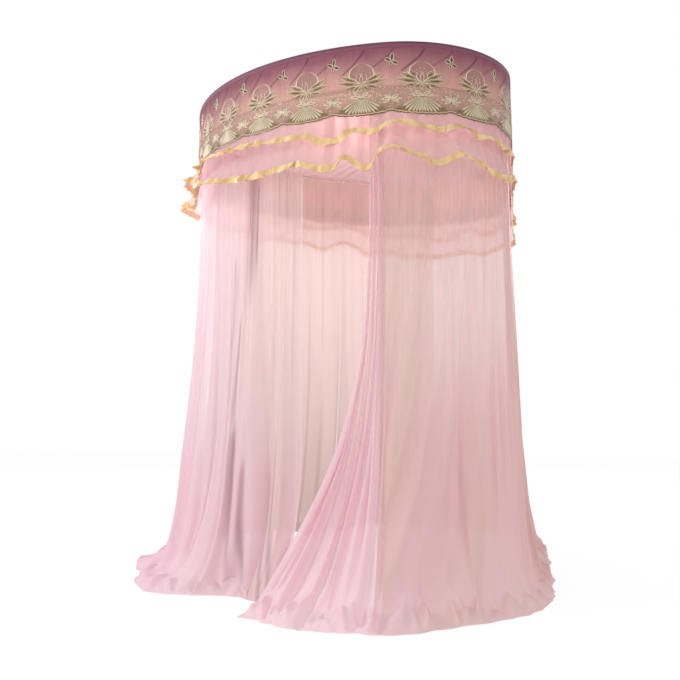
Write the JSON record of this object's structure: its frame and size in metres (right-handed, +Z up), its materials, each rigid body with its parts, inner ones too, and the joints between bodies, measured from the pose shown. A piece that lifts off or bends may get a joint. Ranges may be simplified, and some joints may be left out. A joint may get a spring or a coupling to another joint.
{
  "type": "bed crown canopy",
  "caption": "D-shaped ceiling bed crown: bound rim, sheer valance with scalloped lace, ribboned ruffle tiers and voile curtains drawn on a glider rail.",
  "frame": {"origin": "middle of the rear ceiling bracket's top face, in the ceiling plane, over the flat back of the rail", "axes": "+Z up, -Y towards the rounded front of the crown, +X to its right seen from behind, the side whose curtain is stored drawn open"},
  "size_m": [2.7101, 2.02, 2.2],
  "materials": {
    "rail_metal": "satin anodised",
    "bracket_steel": "bright zinc",
    "nylon": "white moulded nylon",
    "touch_tape": "woven hook and loop tape",
    "binding": "plum satin binding",
    "ombre_voile": "sheer voile, plum fading to blush",
    "lace": "gold corded lace",
    "tulle": "pleated blush tulle",
    "satin_ribbon": "pale gold satin",
    "curtain_voile": "sheer rose voile"
  },
  "bodies": {
    "crown": {"rail_front_right": "rail_metal", "rail_bend_right": "rail_metal", "rail_back": "rail_metal", "rail_bend_left": "rail_metal", "rail_front_left": "rail_metal", "splice_plate_front": "bracket_steel", "splice_plate_right": "bracket_steel", "splice_plate_back_right": "bracket_steel", "splice_plate_back_left": "bracket_steel", "splice_plate_left": "bracket_steel", "bracket_back": "bracket_steel", "bracket_bend_right": "bracket_steel", "bracket_bend_left": "bracket_steel", "bracket_side_right": "bracket_steel", "bracket_side_left": "bracket_steel", "bracket_front_right": "bracket_steel", "bracket_front_left": "bracket_steel", "touch_strip_hook": "touch_tape", "touch_strip_loop": "touch_tape", "rim_binding": "binding", "lining_band": "tulle", "ruffle_upper": "tulle", "ruffle_lower": "tulle", "valance_band": "ombre_voile", "roof_cloth": "ombre_voile", "lace_edging": "lace", "ribbon_upper": "satin_ribbon", "ribbon_lower": "satin_ribbon", "front_glider_right_end": "nylon", "side_glider_right_end": "nylon", "front_glider_left_end": "nylon", "side_glider_left_end": "nylon", "back_glider_1": "nylon", "back_glider_2": "nylon", "back_glider_3": "nylon", "back_glider_4": "nylon", "back_glider_5": "nylon", "back_glider_6": "nylon", "back_glider_7": "nylon", "back_glider_8": "nylon", "stop_front_right": "nylon", "stop_front_left": "nylon", "stop_back_right": "nylon", "stop_back_left": "nylon", "front_curtain_right": "curtain_voile", "front_curtain_left": "curtain_voile", "side_curtain_right": "curtain_voile", "side_curtain_left": "curtain_voile", "back_curtain": "curtain_voile"},
    "front_glider_right_1": {"front_glider_right_1": "nylon"},
    "front_glider_right_2": {"front_glider_right_2": "nylon"},
    "front_glider_right_lead": {"front_glider_right_lead": "nylon"},
    "side_glider_right_lead": {"side_glider_right_lead": "nylon"},
    "side_glider_right_1": {"side_glider_right_1": "nylon"},
    "front_glider_left_1": {"front_glider_left_1": "nylon"},
    "front_glider_left_2": {"front_glider_left_2": "nylon"},
    "front_glider_left_lead": {"front_glider_left_lead": "nylon"},
    "side_glider_left_lead": {"side_glider_left_lead": "nylon"},
    "side_glider_left_1": {"side_glider_left_1": "nylon"}
  },
  "joints": [
    {"name": "front_right_draw", "type": "hinge", "parent": "crown", "child": "front_glider_right_lead", "pos_m": [0, -0.47, -0.025], "axis": [0, 0, 1], "range_deg": [-59.5, 0], "deforming": ["front_curtain_right"]},
    {"name": "front_right_follow_1", "type": "hinge", "parent": "crown", "child": "front_glider_right_1", "pos_m": [0, -0.47, -0.025], "axis": [0, 0, 1], "range_deg": [-19.84, 0]},
    {"name": "front_right_follow_2", "type": "hinge", "parent": "crown", "child": "front_glider_right_2", "pos_m": [0, -0.47, -0.025], "axis": [0, 0, 1], "range_deg": [-39.68, 0]},
    {"name": "front_left_draw", "type": "hinge", "parent": "crown", "child": "front_glider_left_lead", "pos_m": [0, -0.47, -0.025], "axis": [0, 0, 1], "range_deg": [0, 45], "deforming": ["front_curtain_left"]},
    {"name": "front_left_follow_1", "type": "hinge", "parent": "crown", "child": "front_glider_left_1", "pos_m": [0, -0.47, -0.025], "axis": [0, 0, 1], "range_deg": [0, 15.01]},
    {"name": "front_left_follow_2", "type": "hinge", "parent": "crown", "child": "front_glider_left_2", "pos_m": [0, -0.47, -0.025], "axis": [0, 0, 1], "range_deg": [0, 30.01]},
    {"name": "side_right_draw", "type": "hinge", "parent": "crown", "child": "side_glider_right_lead", "pos_m": [0, -0.47, -0.025], "axis": [0, 0, 1], "range_deg": [-14, 0], "deforming": ["side_curtain_right"]},
    {"name": "side_right_follow_1", "type": "hinge", "parent": "crown", "child": "side_glider_right_1", "pos_m": [0, -0.47, -0.025], "axis": [0, 0, 1], "range_deg": [-7.01, 0]},
    {"name": "side_left_draw", "type": "hinge", "parent": "crown", "child": "side_glider_left_lead", "pos_m": [0, -0.47, -0.025], "axis": [0, 0, 1], "range_deg": [-28, 0], "deforming": ["side_curtain_left"]},
    {"name": "side_left_follow_1", "type": "hinge", "parent": "crown", "child": "side_glider_left_1", "pos_m": [0, -0.47, -0.025], "axis": [0, 0, 1], "range_deg": [-14.01, 0]}
  ],
  "couplings": [
    {"joint": "front_right_follow_1", "follows": "front_right_draw", "ratio": 0.3333},
    {"joint": "front_right_follow_2", "follows": "front_right_draw", "ratio": 0.6667},
    {"joint": "front_left_follow_1", "follows": "front_left_draw", "ratio": 0.3333},
    {"joint": "front_left_follow_2", "follows": "front_left_draw", "ratio": 0.6667},
    {"joint": "side_right_follow_1", "follows": "side_right_draw", "ratio": 0.5},
    {"joint": "side_left_follow_1", "follows": "side_left_draw", "ratio": 0.5}
  ]
}
